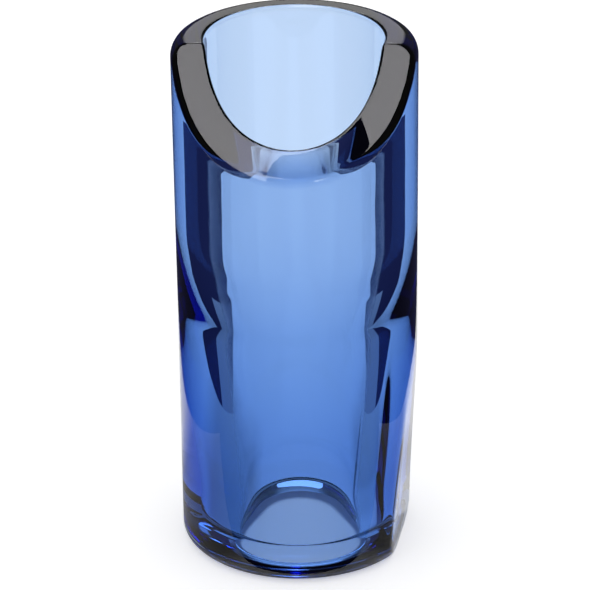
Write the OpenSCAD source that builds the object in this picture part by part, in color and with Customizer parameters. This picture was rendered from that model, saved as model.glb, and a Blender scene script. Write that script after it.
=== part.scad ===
// Glass guitar slide: a thick tube, made in one piece, that a player wears on one finger.
// It stands on its tip end, with its axis along +Z and the knuckle scoop at the front, towards -Y.

/* [Tube] */
// Length from the tip end to the flat part of the rim
slide_length = 60; // [48:0.5:76]
// Outside diameter
outer_d = 26.8; // [22:0.1:34]

/* [Bore] */
// Diameter of the wide bore, where the finger goes in
finger_bore_d = 19.5; // [18:0.1:23.5]
// Diameter of the narrow bore near the tip end, which holds the fingertip
tip_bore_d = 13.9; // [11:0.1:15.9]
// Height at which the narrow bore starts to taper out
taper_bottom = 6.5; // [5.5:0.5:12]
// Diameter at which the taper meets the domed shoulder
shoulder_d = 17.7; // [16:0.1:17.9]
// Height at which the taper meets the domed shoulder
shoulder_bottom = 28; // [20:0.5:30]
// Height at which the shoulder has opened into the wide bore
shoulder_top = 38; // [31:0.5:38]
// Depth of the lip that narrows the bore just above the mouth of the tip end
lip_depth = 0.15; // [0.05:0.05:0.5]
// Height at which the lip has run out into the narrow bore
lip_top = 2.9; // [2.8:0.1:5]

/* [Knuckle scoop] */
// Distance in front of the axis at which the flat part of the rim ends in a ridge
ridge_offset = 2.3; // [0:0.1:4]
// Depth of the scoop below the flat part of the rim, at the front of the tube
scoop_depth = 11.7; // [6:0.1:14]
// Radius of the hollow of the scoop
scoop_r = 33; // [20:0.5:60]

/* [Side relief] */
// Height at which the relief runs out into the round wall
relief_height = 22.5; // [15:0.5:30]
// Depth of the relief at the tip end
relief_depth = 1.7; // [0.4:0.1:2.4]
// Radius of the wheel that ground the relief
relief_wheel_r = 270; // [100:10:600]
// Turn of the middle of the relief from the right-hand side towards the scoop, in degrees
relief_turn = 8.5; // [0:0.5:40]

/* [Edges] */
// Rounding of the outer edge of the rim
rim_round = 2; // [0.2:0.1:2.5]
// Rounding of the outer edge of the tip end
tip_round = 1.6; // [0.2:0.1:2.5]
// Rounding of the mouth of the wide bore
finger_mouth_round = 0.4; // [0.1:0.1:1]
// Rounding of the mouth of the narrow bore
tip_mouth_round = 2.5; // [0.2:0.1:2.6]

/* [Hidden] */
$fn = 96;

// How far a cut runs past the surface that it opens
over = 1;
// Steps along the curve of the shoulder
shoulder_steps = 12;
// Largest share of a wall that one edge rounding may take
round_share = 0.55;

outer_r = outer_d / 2;
finger_r = finger_bore_d / 2;
tip_r = tip_bore_d / 2;
lip_r = tip_r - lip_depth;
shoulder_r = shoulder_d / 2;
rim_wall = outer_r - finger_r;
tip_wall = outer_r - lip_r;

// Edge rounding that leaves enough of the wall, in whole tenths of a millimetre
function fit_round(r, wall) = min(r, floor(wall * round_share * 10) / 10);

// Centre of the circle of radius r through points a and b, on the left of the way from a to b
function arc_centre(a, b, r) =
    let (half = (b - a) / 2, reach = sqrt(r * r - half * half))
    (a + b) / 2 + reach * [-half[1], half[0]] / norm(half);

// Point of the domed shoulder at a share t of the way up, where it runs out into the wide bore
function shoulder_point(t) = [
    finger_r - (finger_r - shoulder_r) * (1 - t) * (1 - t),
    shoulder_bottom + (shoulder_top - shoulder_bottom) * t
];

// What is cut from a square corner, up and to the right, to leave a round edge
module corner_cut(r) {
    difference() {
        square(r + over);
        circle(r);
    }
}

// Half of the bore: lip, narrow bore, taper, domed shoulder and wide bore
module bore_section(lip_bottom) {
    below = [[0, -over], [lip_r, -over], [lip_r, lip_bottom]];
    narrow = [[tip_r, lip_top], [tip_r, taper_bottom]];
    shoulder = [for (i = [0 : shoulder_steps]) shoulder_point(i / shoulder_steps)];
    above = [[finger_r, slide_length + over], [0, slide_length + over]];
    polygon(concat(below, narrow, shoulder, above));
}

// Half of the tube's wall, cut along the axis
module wall_section() {
    rim = fit_round(rim_round, rim_wall);
    tip = fit_round(tip_round, tip_wall);
    finger_mouth = fit_round(finger_mouth_round, rim_wall - rim);
    tip_mouth = fit_round(tip_mouth_round, tip_wall - tip);
    difference() {
        square([outer_r, slide_length]);
        bore_section(tip_mouth);
        translate([outer_r - rim, slide_length - rim]) corner_cut(rim);
        translate([finger_r + finger_mouth, slide_length - finger_mouth])
            mirror([1, 0]) corner_cut(finger_mouth);
        translate([outer_r - tip, tip]) mirror([0, 1]) corner_cut(tip);
        translate([lip_r + tip_mouth, tip_mouth]) rotate(180) corner_cut(tip_mouth);
    }
}

// Round cutter that hollows the rim from the ridge down to the front of the tube
module scoop_cutter() {
    ridge = [ridge_offset, slide_length];
    front = [outer_r, slide_length - scoop_depth];
    centre = arc_centre(ridge, front, scoop_r);
    translate([-outer_r - over, -centre[0], centre[1]])
        rotate([0, 90, 0]) cylinder(r = scoop_r, h = outer_d + 2 * over);
}

// Rim of the wide wheel that grinds the relief, deepest at the tip end
module relief_cutter() {
    runout = [outer_r, relief_height];
    deepest = [outer_r - relief_depth, 0];
    centre = arc_centre(runout, deepest, relief_wheel_r);
    rotate(-relief_turn) translate([centre[0], outer_r, centre[1]])
        rotate([90, 0, 0]) cylinder(r = relief_wheel_r, h = outer_d);
}

module glass_tube() {
    color("royalblue", 0.6) difference() {
        rotate_extrude() wall_section();
        scoop_cutter();
        relief_cutter();
    }
}

glass_tube();
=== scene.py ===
import math

import bpy
from mathutils import Matrix, Vector


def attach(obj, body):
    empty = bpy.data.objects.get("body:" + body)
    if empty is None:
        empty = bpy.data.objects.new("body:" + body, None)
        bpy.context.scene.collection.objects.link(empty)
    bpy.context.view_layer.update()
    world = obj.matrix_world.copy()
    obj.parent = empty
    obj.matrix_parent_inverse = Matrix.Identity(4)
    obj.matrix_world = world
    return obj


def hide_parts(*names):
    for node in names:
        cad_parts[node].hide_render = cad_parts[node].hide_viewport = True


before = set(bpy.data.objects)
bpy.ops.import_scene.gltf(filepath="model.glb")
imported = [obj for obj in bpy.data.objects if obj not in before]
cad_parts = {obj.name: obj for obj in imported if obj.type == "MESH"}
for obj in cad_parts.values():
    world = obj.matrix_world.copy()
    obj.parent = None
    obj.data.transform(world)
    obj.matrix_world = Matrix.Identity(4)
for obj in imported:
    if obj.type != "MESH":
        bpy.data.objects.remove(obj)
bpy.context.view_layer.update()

MM = 0.001


# Node helpers

def wire(tree, value, socket):
    """Links a socket, or writes a plain value, into an input."""
    if isinstance(value, bpy.types.NodeSocket):
        tree.links.new(value, socket)
    else:
        socket.default_value = value


def place(tree, kind, feeds=None, **settings):
    """Adds a node, applies its settings, and feeds its inputs with sockets or plain values."""
    node = tree.nodes.new(kind)
    for key, value in settings.items():
        setattr(node, key, value)
    for key, value in (feeds or {}).items():
        wire(tree, value, node.inputs[key])
    return node


class Sums:
    """Short names for the Math nodes of one tree."""

    def __init__(self, tree):
        self.tree = tree

    def do(self, operation, *terms):
        node = place(self.tree, "ShaderNodeMath", operation=operation)
        for term, socket in zip(terms, node.inputs):
            wire(self.tree, term, socket)
        return node.outputs[0]

    def add(self, a, b):
        return self.do("ADD", a, b)

    def less(self, a, b):
        return self.do("SUBTRACT", a, b)

    def times(self, a, b):
        return self.do("MULTIPLY", a, b)

    def over(self, a, b):
        return self.do("DIVIDE", a, b)

    def half(self, a):
        return self.do("MULTIPLY", a, 0.5)

    def square(self, a):
        return self.do("MULTIPLY", a, a)

    def root(self, a):
        return self.do("SQRT", self.do("MAXIMUM", a, 0.0))

    def sine(self, a):
        return self.do("SINE", a)

    def cosine(self, a):
        return self.do("COSINE", a)

    def same(self, a, b, room=0.1):
        return self.do("COMPARE", a, b, room)

    def part_way(self, value, low, high):
        return self.over(self.less(value, low), self.less(high, low))

    def slope(self, value, low, at_low, high, at_high):
        """A straight rise through two heights, carried on past both."""
        way = self.part_way(value, low, high)
        return self.add(at_low, self.times(way, self.less(at_high, at_low)))

    def ramp(self, value, low, high, start=0.0, end=1.0):
        """A straight rise between two values, level past both."""
        return place(self.tree, "ShaderNodeMapRange", {
            "Value": value, "From Min": low, "From Max": high, "To Min": start, "To Max": end,
        }).outputs[0]


def join(tree, x=0.0, y=0.0, z=0.0):
    return place(tree, "ShaderNodeCombineXYZ", {"X": x, "Y": y, "Z": z}).outputs[0]


def split(tree, vector):
    return place(tree, "ShaderNodeSeparateXYZ", {0: vector}).outputs


# The glass tube

TUBE_SIZES = {
    "Length": 60 * MM,
    "Outer Radius": 13.4 * MM,
    "Finger Bore Radius": 9.75 * MM,
    "Tip Bore Radius": 6.95 * MM,
    "Taper Bottom": 6.5 * MM,
    "Shoulder Bottom": 28 * MM,
    "Shoulder Radius": 8.85 * MM,
    "Shoulder Top": 38 * MM,
    "Taper Ease": 0.2 * MM,
    "Shoulder Ease": 0.06 * MM,
    "Bead Height": 2.9 * MM,
    "Bead Depth": 0.15 * MM,
    "Ridge Offset": 2.3 * MM,
    "Ridge Round": 0.8 * MM,
    "Scoop Depth": 11.7 * MM,
    "Scoop Radius": 33 * MM,
    "Scoop Foot": 34 * MM,
    "Scoop Collar": 2.5 * MM,
    "Relief Height": 22.5 * MM,
    "Relief Depth": 1.7 * MM,
    "Relief Wheel Radius": 270 * MM,
    "Relief Turn": math.radians(8.5),
    "Relief Edge": 0.6 * MM,
    "Crown Round": 2.0 * MM,
    "Rim Round": 0.7 * MM,
    "Mouth Round": 0.4 * MM,
    "Tip Round": 1.6 * MM,
    "Tip Mouth Round": 2.5 * MM,
    "Ripple Height": 0.01 * MM,
    "Ripple Size": 6 * MM,
}
TUBE_COUNTS = {"Round Steps": 384, "Wall Steps": 88, "End Steps": 7, "Seed": 5}
CORNER_STEPS = 8
SIDE_CROWDING = 0.5
TIP_CROWDING = 1.5
ON_BORE = 0.01 * MM


def tube_section(tree, size):
    """Half of the wall, cut along the axis, as a closed curve: x is the radius and y the height."""
    s = Sums(tree)
    outer, finger, tip = size("Outer Radius"), size("Finger Bore Radius"), size("Tip Bore Radius")
    length = size("Length")
    narrowest = s.less(tip, size("Bead Depth"))
    outline = place(tree, "GeometryNodeCurvePrimitiveQuadrilateral", {
        "Point 1": join(tree, outer),
        "Point 2": join(tree, outer, length),
        "Point 3": join(tree, narrowest, length),
        "Point 4": join(tree, narrowest),
    }, mode="POINTS")

    index = place(tree, "GeometryNodeInputIndex").outputs[0]
    rounding = place(tree, "GeometryNodeIndexSwitch", data_type="FLOAT")
    corner_roundings = ("Tip Round", "Rim Round", "Mouth Round", "Tip Mouth Round")
    while len(rounding.index_switch_items) < len(corner_roundings):
        rounding.index_switch_items.new()
    wire(tree, index, rounding.inputs[0])
    for number, name in enumerate(corner_roundings):
        wire(tree, size(name), rounding.inputs[1 + number])
    rounded = place(tree, "GeometryNodeFilletCurve", {
        "Curve": outline.outputs[0], "Count": CORNER_STEPS, "Radius": rounding.outputs[0],
    }, mode="POLY")

    # The last point of each corner starts a straight side: wall, rim, bore, then tip end.
    corner_points = CORNER_STEPS + 1
    starts_side = s.same(s.do("MODULO", index, corner_points), CORNER_STEPS)
    side = s.do("FLOOR", s.over(index, corner_points))
    is_long = s.same(s.do("MODULO", side, 2), 0)
    extra = s.less(size("Wall Steps"), size("End Steps"))
    cuts = s.add(size("End Steps"), s.times(is_long, extra))
    divided = place(tree, "GeometryNodeSubdivideCurve", {
        "Curve": rounded.outputs[0], "Cuts": s.times(starts_side, cuts),
    })

    # The steps of the bore crowd towards the tip end.
    x, y = split(tree, place(tree, "GeometryNodeInputPosition").outputs[0])[:2]
    bore_low, bore_high = size("Tip Mouth Round"), s.less(length, size("Mouth Round"))
    way_up = s.part_way(y, bore_low, bore_high)
    between = s.times(s.do("GREATER_THAN", way_up, 0.0), s.do("LESS_THAN", way_up, 1.0))
    in_bore = s.times(s.same(x, narrowest, ON_BORE), between)
    crowded = s.do("POWER", s.do("MAXIMUM", way_up, 0.0), TIP_CROWDING)
    moved = s.times(s.less(crowded, way_up), s.less(bore_high, bore_low))
    y = s.add(y, s.times(in_bore, moved))

    # The bore side moves out from the bead of the tip mouth to the narrow bore, taper and shoulder.
    taper = s.slope(y, size("Taper Bottom"), tip, size("Shoulder Bottom"), size("Shoulder Radius"))
    narrow = s.do("SMOOTH_MAX", taper, tip, size("Taper Ease"))
    way_down = s.do("MAXIMUM", s.part_way(y, size("Shoulder Top"), size("Shoulder Bottom")), 0.0)
    shoulder = s.less(finger, s.times(s.less(finger, size("Shoulder Radius")), s.square(way_down)))
    bore = s.do("MINIMUM", s.do("SMOOTH_MAX", narrow, shoulder, size("Shoulder Ease")), finger)
    bead = place(tree, "ShaderNodeMapRange", {
        "Value": y, "From Min": bore_low, "From Max": size("Bead Height"), "To Min": 1.0, "To Max": 0.0,
    }, interpolation_type="SMOOTHSTEP").outputs[0]
    bore = s.less(bore, s.times(bead, size("Bead Depth")))
    share = s.ramp(x, s.add(narrowest, size("Mouth Round")), s.less(outer, size("Rim Round")), 1.0, 0.0)
    opened = join(tree, s.add(x, s.times(s.less(bore, narrowest), share)), y)
    return place(tree, "GeometryNodeSetPosition", {
        "Geometry": divided.outputs[0], "Position": opened,
    }).outputs[0]


def remember(tree, geometry, kind, value):
    """Keeps a value on the points of a curve, for use after the sweep: the curve and the value."""
    node = place(tree, "GeometryNodeCaptureAttribute")
    node.capture_items.new(kind, "kept")
    wire(tree, geometry, node.inputs[0])
    wire(tree, value, node.inputs[1])
    return node.outputs[0], node.outputs[1]


def tube_tree():
    """The tube: its wall section swept round the axis, then scooped, relieved and rippled."""
    tree = bpy.data.node_groups.new("tube shape", "GeometryNodeTree")
    for name in TUBE_SIZES:
        tree.interface.new_socket(name, in_out="INPUT", socket_type="NodeSocketFloat")
    for name in TUBE_COUNTS:
        tree.interface.new_socket(name, in_out="INPUT", socket_type="NodeSocketInt")
    tree.interface.new_socket("Glass", in_out="INPUT", socket_type="NodeSocketMaterial")
    tree.interface.new_socket("Tube", in_out="OUTPUT", socket_type="NodeSocketGeometry")
    given = place(tree, "NodeGroupInput")
    s = Sums(tree)

    def size(name):
        return given.outputs[name]

    section = tube_section(tree, size)
    position = place(tree, "GeometryNodeInputPosition").outputs[0]
    section, spot = remember(tree, section, "VECTOR", position)
    ring = place(tree, "GeometryNodeCurvePrimitiveCircle", {
        "Resolution": size("Round Steps"), "Radius": size("Outer Radius"),
    }, mode="RADIUS").outputs[0]
    factor = place(tree, "GeometryNodeSplineParameter").outputs["Factor"]
    ring, lap = remember(tree, ring, "FLOAT", factor)
    swept = place(tree, "GeometryNodeCurveToMesh", {
        "Curve": ring, "Profile Curve": section,
    }).outputs[0]

    # Angle from the front. The steps crowd at the sides, and one follows the ridge of the rim.
    outer, length = size("Outer Radius"), size("Length")
    radius, height = split(tree, spot)[:2]
    turn = s.times(lap, -2 * math.pi)
    turn = s.add(turn, s.times(s.sine(s.times(turn, 2)), SIDE_CROWDING / 2))
    lean = s.do("ARCSINE", s.over(size("Ridge Offset"), radius))
    turn = s.less(turn, s.times(lean, s.sine(turn)))

    # Moulded ripple of the bore
    plain = join(tree, s.times(radius, s.sine(turn)), s.times(radius, s.cosine(turn)), height)
    noise = place(tree, "ShaderNodeTexNoise", {
        "Vector": plain, "W": size("Seed"),
        "Scale": s.over(1.0, size("Ripple Size")), "Detail": 1.0,
    }, noise_dimensions="4D").outputs[0]
    on_bore = s.ramp(radius, size("Finger Bore Radius"), outer, 1.0, 0.0)
    ripple = s.times(s.less(noise, 0.5), s.times(on_bore, s.times(size("Ripple Height"), 2)))
    radius = s.add(radius, ripple)
    aside = s.times(radius, s.sine(turn))
    ahead = s.times(radius, s.cosine(turn))

    # Knuckle scoop: a round hollow from the ridge down to the front
    across = s.half(s.less(outer, size("Ridge Offset")))
    down = s.half(size("Scoop Depth"))
    chord = s.root(s.add(s.square(across), s.square(down)))
    reach = s.over(s.root(s.less(s.square(size("Scoop Radius")), s.square(chord))), chord)
    scoop_ahead = s.add(s.add(across, size("Ridge Offset")), s.times(reach, down))
    scoop_up = s.add(s.less(length, down), s.times(reach, across))
    dip = s.root(s.less(s.square(size("Scoop Radius")), s.square(s.less(ahead, scoop_ahead))))
    scooped = s.less(length, s.less(scoop_up, dip))

    # The flat part of the rim, which the scoop leaves, is rounder at its outer edge than the scoop is.
    def fall(rounding):
        """How far a round outer edge lies below the rim."""
        out = s.do("MAXIMUM", s.less(radius, s.less(outer, rounding)), 0.0)
        return s.less(rounding, s.root(s.less(s.square(rounding), s.square(out))))

    crown = s.less(fall(size("Crown Round")), fall(size("Rim Round")))
    drop = s.do("SMOOTH_MAX", scooped, crown, size("Ridge Round"))
    give = s.ramp(height, size("Scoop Foot"), s.less(length, size("Scoop Collar")))
    up = s.less(height, s.times(drop, give))

    # Side relief: the rim of a wide wheel, pressed in from one side
    in_half = s.half(size("Relief Depth"))
    up_half = s.half(size("Relief Height"))
    edge = s.root(s.add(s.square(in_half), s.square(up_half)))
    reach = s.over(s.root(s.less(s.square(size("Relief Wheel Radius")), s.square(edge))), edge)
    wheel_out = s.add(s.less(outer, in_half), s.times(reach, up_half))
    wheel_up = s.less(up_half, s.times(reach, in_half))
    from_hub = s.square(s.less(up, wheel_up))
    bulge = s.root(s.less(s.square(size("Relief Wheel Radius")), from_hub))
    towards = s.cosine(size("Relief Turn"))
    forwards = s.sine(size("Relief Turn"))
    out = s.add(s.times(aside, towards), s.times(ahead, forwards))
    overlap = s.less(out, s.less(wheel_out, bulge))
    press = s.do("SMOOTH_MAX", overlap, 0.0, size("Relief Edge"))
    aside = s.less(aside, s.times(press, towards))
    ahead = s.less(ahead, s.times(press, forwards))

    shaped = place(tree, "GeometryNodeSetPosition", {
        "Geometry": swept, "Position": join(tree, aside, s.times(ahead, -1.0), up),
    }).outputs[0]
    smooth = place(tree, "GeometryNodeSetShadeSmooth", {"Geometry": shaped}).outputs[0]
    whole = place(tree, "GeometryNodeRealizeInstances", {"Geometry": smooth}).outputs[0]
    glazed = place(tree, "GeometryNodeSetMaterial", {
        "Geometry": whole, "Material": size("Glass"),
    }).outputs[0]
    place(tree, "NodeGroupOutput", {"Tube": glazed})
    return tree


def made_by_tree(name, tree, inputs):
    """Runs a tree once, with its inputs set by identifier, and keeps the result as a plain mesh."""
    piece = bpy.data.objects.new(name, bpy.data.meshes.new(name))
    bpy.context.scene.collection.objects.link(piece)
    maker = piece.modifiers.new("maker", "NODES")
    maker.node_group = tree
    for item in tree.interface.items_tree:
        if item.item_type == "SOCKET" and item.in_out == "INPUT":
            maker[item.identifier] = inputs[item.name]
    depsgraph = bpy.context.evaluated_depsgraph_get()
    made = piece.evaluated_get(depsgraph)
    mesh = bpy.data.meshes.new_from_object(made, depsgraph=depsgraph)
    piece.modifiers.remove(maker)
    piece.data = mesh
    mesh.name = name
    return piece


# The camera, which the floor and the stage are also squared to

VIEW_TURN = 2.5
CAMERA_TARGET = (-0.27, -0.03, 29.32)
CAMERA_DISTANCE = 369.7
CAMERA_ELEVATION = 24.82
CAMERA_ROLL = -0.747
CAMERA_LENS = 202.43
CAMERA_SENSOR = 36
CAMERA_CLIP = (0.01, 10)


def camera():
    turn, tilt, roll = (math.radians(a) for a in (VIEW_TURN, CAMERA_ELEVATION, CAMERA_ROLL))
    level = Vector((-math.sin(turn), math.cos(turn), 0))
    ahead = math.cos(tilt) * level - math.sin(tilt) * Vector((0, 0, 1))
    right = Vector((math.cos(turn), math.sin(turn), 0))
    above = right.cross(ahead)
    rolled_right = math.cos(roll) * right + math.sin(roll) * above
    rolled_above = math.cos(roll) * above - math.sin(roll) * right
    lens = bpy.data.cameras.new("camera")
    lens.sensor_width = CAMERA_SENSOR
    lens.lens = CAMERA_LENS
    lens.clip_start, lens.clip_end = CAMERA_CLIP
    stand = bpy.data.objects.new("camera", lens)
    pose = Matrix((rolled_right, rolled_above, -ahead)).transposed().to_4x4()
    pose.translation = (Vector(CAMERA_TARGET) - CAMERA_DISTANCE * ahead) * MM
    stand.matrix_world = pose
    bpy.context.scene.collection.objects.link(stand)
    bpy.context.scene.camera = stand


def turned(plan):
    """Points of a plan drawn square to the camera, turned into the frame of the part."""
    c, n = math.cos(math.radians(VIEW_TURN)), math.sin(math.radians(VIEW_TURN))
    return [(c * x - n * y, n * x + c * y) for x, y in plan]


def square_to_camera(s, x, y):
    """How far a point lies to the camera's right and how far back, from its place in the part's frame."""
    c, n = math.cos(math.radians(VIEW_TURN)), math.sin(math.radians(VIEW_TURN))
    right = s.add(s.times(x, c), s.times(y, n))
    back = s.less(s.times(y, c), s.times(x, n))
    return right, back


# Materials

WHITE = (1, 1, 1, 1)
BLACK = (0, 0, 0, 1)
GLASS_IOR = 1.51
GLASS_TINT = (0.12, 0.465, 0.865, 1)
GLASS_DEPTH = 200.0
SMEAR_SCALE = 180.0
SMEAR_RANGE = (0.45, 0.75)
SMEAR_ROUGHNESS = 0.012
FLOW_SCALE = 260.0
FLOW_STRENGTH = 0.02
FLOW_HEIGHT = 0.1 * MM


def shader_of(material):
    material.use_nodes = True
    return material.node_tree, material.node_tree.nodes["Principled BSDF"]


def blue_glass():
    """Clear glass, coloured through its depth, with faint smears and a slight flow of its surface."""
    material = bpy.data.materials.new("blue_glass")
    tree, shader = shader_of(material)
    s = Sums(tree)
    shader.inputs["Base Color"].default_value = WHITE
    shader.inputs["Metallic"].default_value = 0
    shader.inputs["IOR"].default_value = GLASS_IOR
    shader.inputs["Transmission Weight"].default_value = 1
    spot = place(tree, "ShaderNodeTexCoord").outputs["Object"]
    smear = place(tree, "ShaderNodeTexNoise", {
        "Vector": spot, "Scale": SMEAR_SCALE, "Detail": 3.0,
    }).outputs[0]
    wire(tree, s.ramp(smear, *SMEAR_RANGE, 0.0, SMEAR_ROUGHNESS), shader.inputs["Roughness"])
    flow = place(tree, "ShaderNodeTexNoise", {
        "Vector": spot, "Scale": FLOW_SCALE, "Detail": 1.0,
    }).outputs[0]
    bump = place(tree, "ShaderNodeBump", {
        "Strength": FLOW_STRENGTH, "Distance": FLOW_HEIGHT, "Height": flow,
    })
    wire(tree, bump.outputs[0], shader.inputs["Normal"])
    depth = place(tree, "ShaderNodeVolumeAbsorption", {"Color": GLASS_TINT, "Density": GLASS_DEPTH})
    wire(tree, depth.outputs[0], tree.nodes["Material Output"].inputs["Volume"])
    return material


def seen_directly(tree):
    """1 for rays from the camera and for those that glass and gloss send on, 0 for lighting."""
    s = Sums(tree)
    path = place(tree, "ShaderNodeLightPath").outputs
    sent_on = s.add(path["Is Glossy Ray"], path["Is Transmission Ray"])
    return s.do("MINIMUM", s.add(path["Is Camera Ray"], sent_on), 1.0)


FLOOR_LEVEL = 0.93
FLOOR_ROUGHNESS = 0.9
# Glow of the floor: seen by the camera, and in the glass beside the tube; in the bore it is painted light
# and under the mouth painted shadow
OPEN_GLOW = 0.42
FLOOR_GLOW = 0.36
BORE_PAINTED_LIGHT = 0.5
MOUTH_PAINTED_SHADOW_GLOW = 0.1
BORE_EDGE = (6.8 * MM, 7.4 * MM)
FOOT_EDGE = (13 * MM, 13.4 * MM)
# Shade on the floor beside the tube, as seen through the glass and mirrored in it
SHADE_THROUGH = 0.4
SHADE_MIRRORED = 0.65
SHADE_LEFT = (-9 * MM, -13 * MM)
SHADE_RIGHT = 15 * MM
SHADE_RIGHT_AHEAD = 10 * MM
SHADE_RIGHT_SOFT = 4 * MM
SHADE_ENDS = (40 * MM, 70 * MM)
SHADE_BACK = (12 * MM, 24 * MM)
SHADE_AHEAD = (-4 * MM, -8 * MM)


def pale_floor():
    """An even white floor. Beside the tube, what the glass shows of it is in painted shade; inside the
    bore it has painted light, and under the rounded mouth painted shadow.
    """
    material = bpy.data.materials.new("pale_floor")
    tree, shader = shader_of(material)
    s = Sums(tree)
    shader.inputs["Roughness"].default_value = FLOOR_ROUGHNESS
    shader.inputs["Specular IOR Level"].default_value = 0
    shader.inputs["Emission Color"].default_value = WHITE
    x, y = split(tree, place(tree, "ShaderNodeTexCoord").outputs["Object"])[:2]
    right, back = square_to_camera(s, x, y)
    path = place(tree, "ShaderNodeLightPath").outputs
    through = path["Is Transmission Ray"]
    mirrored = s.times(path["Is Glossy Ray"], s.less(1.0, through))

    # The front of the base mirrors floor that is nearer to it, so there the shade starts closer.
    closer = s.times(mirrored, s.ramp(back, *SHADE_AHEAD))
    start = s.ramp(closer, 0.0, 1.0, SHADE_RIGHT, SHADE_RIGHT_AHEAD)
    on_right = s.ramp(right, start, s.add(start, SHADE_RIGHT_SOFT))
    beside = s.add(s.ramp(right, *SHADE_LEFT), on_right)
    beside = s.times(beside, s.ramp(s.do("ABSOLUTE", right), *SHADE_ENDS, 1.0, 0.0))
    beside = s.times(beside, s.ramp(back, *SHADE_BACK, 1.0, 0.0))
    # Painted shade: for rays through or off the glass, the floor's colour and glow are lowered beside the
    # tube.
    shade = s.add(s.times(through, SHADE_THROUGH), s.times(mirrored, SHADE_MIRRORED))
    kept = s.less(1.0, s.times(beside, shade))
    level = s.times(kept, FLOOR_LEVEL)
    wire(tree, join(tree, level, level, level), shader.inputs["Base Color"])

    # Seen in the glass, the floor inside the bore is bright with painted light, and that under the
    # rounded mouth is dark with painted shadow.
    away = s.root(s.add(s.square(x), s.square(y)))
    glow = s.ramp(away, *BORE_EDGE, BORE_PAINTED_LIGHT, MOUTH_PAINTED_SHADOW_GLOW)
    glow = s.add(glow, s.ramp(away, *FOOT_EDGE, 0.0, FLOOR_GLOW - MOUTH_PAINTED_SHADOW_GLOW))
    glow = s.add(glow, s.times(path["Is Camera Ray"], s.less(OPEN_GLOW, glow)))
    glow = s.times(kept, glow)
    wire(tree, s.times(seen_directly(tree), glow), shader.inputs["Emission Strength"])
    return material


def card_material(name, colour):
    """A matt card of an even level, whatever light falls on it."""
    material = bpy.data.materials.new(name)
    tree, shader = shader_of(material)
    shader.inputs["Base Color"].default_value = BLACK
    shader.inputs["Specular IOR Level"].default_value = 0
    shader.inputs["Emission Color"].default_value = colour
    shader.inputs["Emission Strength"].default_value = 1
    return material


# Floor and cards: plans are in millimetres, to the camera's right and back

FLOOR_REACH = 900
DARK = (0.03, 0.03, 0.08, 1)
# Grey of the low cards: painted shade, the shaded floor beside the tube as the glass shows it
SHADE_GREY = (0.42, 0.42, 0.46, 1)
BRIGHT = (2.4, 2.4, 2.4, 1)
# Each side's card: its name, how far out it stands and how far back it runs
SIDE_CARDS = (("left", -25, 40), ("right", 27, 34))
CARD_FRONT = -12
CARD_MIDDLE = 5
CARD_FOOT = 4
CARD_WAIST = 17
CARD_TOP = 60
MIRROR_FLAG_BACK = 140
MIRROR_FLAG_FOOT = 9
STRIP_AWAY = 300
STRIP_OUTLINE = ((-150, 44), (-78, 30), (50, 26), (64, 32), (64, 60), (50, 66), (-78, 58))
FRONT_FLAG = ((-200, -300), (200, -300), (200, -14), (-200, -14))
FRONT_FLAG_HEIGHT = 0.3
LIP_FLAG = ((-6, -20), (3, -20))
LIP_FLAG_RISE = (50, 82)
WINDOW_FLAG = ((-5, -12.8), (6.3, -11), (7.7, -12.6), (7.7, -24), (1.5, -24), (-0.9, -15.4))
WINDOW_FLAG_HEIGHT = 62


def sheet_object(name, points, faces, material):
    mesh = bpy.data.meshes.new(name)
    mesh.from_pydata([tuple(v * MM for v in point) for point in points], [], faces)
    mesh.materials.append(material)
    thing = bpy.data.objects.new(name, mesh)
    bpy.context.scene.collection.objects.link(thing)
    return thing


def seen_in_glass(sheet, mirrored=False, through=False):
    """Hides a card from all but the rays that the glass reflects or lets through, as wanted."""
    sheet.visible_camera = False
    sheet.visible_diffuse = False
    sheet.visible_shadow = False
    sheet.visible_glossy = mirrored
    sheet.visible_transmission = through


def standing_card(name, plan, low, high, material):
    """An upright card on a line of the plan."""
    points = [(x, y, z) for x, y in turned(plan) for z in (low, high)]
    faces = [(2 * i, 2 * i + 2, 2 * i + 3, 2 * i + 1) for i in range(len(plan) - 1)]
    return sheet_object(name, points, faces, material)


def upright_card(name, distance, outline, material):
    """A card of any outline, square to the camera: its points are across and up."""
    points = [(*turned([(across, distance)])[0], up) for across, up in outline]
    return sheet_object(name, points, [tuple(range(len(outline)))], material)


def lying_card(name, plan, height, material):
    """A level card with the outline of the plan."""
    points = [(x, y, height) for x, y in turned(plan)]
    return sheet_object(name, points, [tuple(range(len(plan)))], material)


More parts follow.
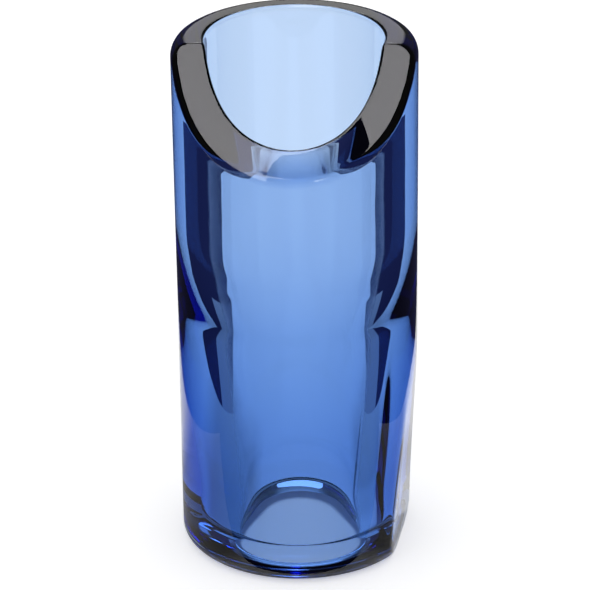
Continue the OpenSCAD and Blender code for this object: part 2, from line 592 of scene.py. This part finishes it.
def floor_and_cards():
    reach = FLOOR_REACH
    corners = [(-reach, -reach, 0), (reach, -reach, 0), (reach, reach, 0), (-reach, reach, 0)]
    sheet_object("floor", corners, [(0, 1, 2, 3)], pale_floor())
    dark, shade_grey = card_material("dark_card", DARK), card_material("shade_grey_card", SHADE_GREY)
    bright = card_material("strip_card", BRIGHT)

    for side, out, back in SIDE_CARDS:
        whole = [(out, MIRROR_FLAG_BACK), (out, CARD_FRONT)]
        rear = [(out, back), (out, CARD_MIDDLE)]
        front = [(out, CARD_MIDDLE), (out, CARD_FRONT)]
        mirror_flag = standing_card(side + "_mirror_flag", whole, MIRROR_FLAG_FOOT, CARD_TOP, dark)
        seen_in_glass(mirror_flag, mirrored=True)
        flag = standing_card(side + "_flag", rear, CARD_FOOT, CARD_TOP, dark)
        seen_in_glass(flag, through=True)
        front_flag = standing_card(side + "_front_flag", front, CARD_WAIST, CARD_TOP, dark)
        seen_in_glass(front_flag, through=True)
        # The low grey card is painted shade: seen only through the glass, it stands for shaded floor
        # beside the tube.
        low_shade_card = standing_card(side + "_low_shade_card", front, CARD_FOOT, CARD_WAIST, shade_grey)
        seen_in_glass(low_shade_card, through=True)

    seen_in_glass(upright_card("back_strip", STRIP_AWAY, STRIP_OUTLINE, bright), through=True)
    seen_in_glass(lying_card("front_flag", FRONT_FLAG, FRONT_FLAG_HEIGHT, dark), mirrored=True)
    seen_in_glass(standing_card("lip_flag", LIP_FLAG, *LIP_FLAG_RISE, dark), mirrored=True)
    seen_in_glass(lying_card("window_flag", WINDOW_FLAG, WINDOW_FLAG_HEIGHT, dark), mirrored=True)


# Lamps, in metres and degrees

LAMP_DISTANCE = 0.36
SOFTBOX_SIZE = (0.2, 0.36)
SOFTBOX_LEVEL = 4.6
SOFTBOX_COLOUR = (0.97, 0.96, 1.0)
SOFTBOX_AIM = (0, 0, 0.05)
SOFTBOX_LIFT = 64.4
SOFTBOX_SHIFT = (-0.0485, 0, 0)
SOFTBOX_ROLL = 22
RIM_LIGHT_SIZE = (0.12, 0.05)
RIM_LIGHT_LEVEL = 7
RIM_LIGHT_LIFT = 50


def area_lamp(name, size, level, pose, colour=(1, 1, 1)):
    """A lamp of an even level over its face, which shows in the glass and doesn't light the floor."""
    light = bpy.data.lights.new(name, "AREA")
    light.shape = "RECTANGLE"
    light.size, light.size_y = size
    light.color = colour
    light.energy = level * math.pi * light.size * light.size_y
    lamp = bpy.data.objects.new(name, light)
    lamp.visible_diffuse = False
    lamp.matrix_world = pose
    bpy.context.scene.collection.objects.link(lamp)


def facing(direction):
    return direction.to_track_quat("Z", "Y").to_matrix().to_4x4()


def lamps():
    # The softbox stands where the scoop mirrors the camera, so it is turned to the other side.
    lift = math.radians(SOFTBOX_LIFT)
    x, y = turned([(0, -math.cos(lift))])[0]
    ahead = Vector((-x, y, math.sin(lift)))
    pose = Matrix.Translation(Vector(SOFTBOX_AIM) + LAMP_DISTANCE * ahead) @ facing(ahead)
    pose = pose @ Matrix.Translation(SOFTBOX_SHIFT)
    pose = pose @ Matrix.Rotation(math.radians(SOFTBOX_ROLL), 4, "Z")
    area_lamp("softbox", SOFTBOX_SIZE, SOFTBOX_LEVEL, pose, SOFTBOX_COLOUR)

    lift = math.radians(RIM_LIGHT_LIFT)
    behind = Vector((*turned([(0, math.cos(lift))])[0], math.sin(lift)))
    pose = Matrix.Translation(LAMP_DISTANCE * behind) @ facing(behind)
    area_lamp("rim_light", RIM_LIGHT_SIZE, RIM_LIGHT_LEVEL, pose)


# The white room round the stage

ROOM_LIGHT = 0.8
ROOM_SHADE = 0.06
# The bright wall at the back: sines of its top, foot, front and side edges
WALL_TOP_THROUGH = 0.6
WALL_TOP_MIRRORED = 0.97
WALL_TOP_SOFT = 0.1
WALL_FOOT = (0.2, 0.26)
WALL_FRONT = (-0.1, 0.1)
WALL_SIDE = (0.14, 0.24)


def white_room():
    """Even light. To the camera it is white, and the glass shows a bright wall at the back of it."""
    world = bpy.data.worlds.new("white_room")
    world.use_nodes = True
    tree = world.node_tree
    lit = tree.nodes["Background"]
    lit.inputs["Color"].default_value = WHITE
    lit.inputs["Strength"].default_value = ROOM_LIGHT
    s = Sums(tree)
    x, y, rise = split(tree, place(tree, "ShaderNodeTexCoord").outputs["Generated"])
    right, back = square_to_camera(s, x, y)
    path = place(tree, "ShaderNodeLightPath").outputs
    mirrored = s.less(path["Is Glossy Ray"], path["Is Transmission Ray"])
    top = s.ramp(mirrored, 0.0, 1.0, WALL_TOP_THROUGH, WALL_TOP_MIRRORED)
    below_top = s.ramp(rise, s.less(top, WALL_TOP_SOFT), top, 1.0, 0.0)
    wall = s.times(below_top, s.ramp(rise, *WALL_FOOT))
    wall = s.times(wall, s.ramp(back, *WALL_FRONT))
    wall = s.times(wall, s.ramp(s.do("ABSOLUTE", right), *WALL_SIDE, 1.0, 0.0))
    wall = s.do("MAXIMUM", wall, path["Is Camera Ray"])
    shown = place(tree, "ShaderNodeBackground", {
        "Color": WHITE, "Strength": s.ramp(wall, 0.0, 1.0, ROOM_SHADE, 1.0),
    })
    mixed = place(tree, "ShaderNodeMixShader", {
        0: seen_directly(tree), 1: lit.outputs[0], 2: shown.outputs[0],
    })
    wire(tree, mixed.outputs[0], tree.nodes["World Output"].inputs["Surface"])
    bpy.context.scene.world = world


bpy.context.scene.view_settings.view_transform = "Standard"
camera()
floor_and_cards()
lamps()
white_room()

tube_inputs = {**TUBE_SIZES, **TUBE_COUNTS, "Glass": blue_glass()}
tube = made_by_tree("blue_glass_tube", tube_tree(), tube_inputs)
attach(tube, "root")
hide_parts("glass_tube")
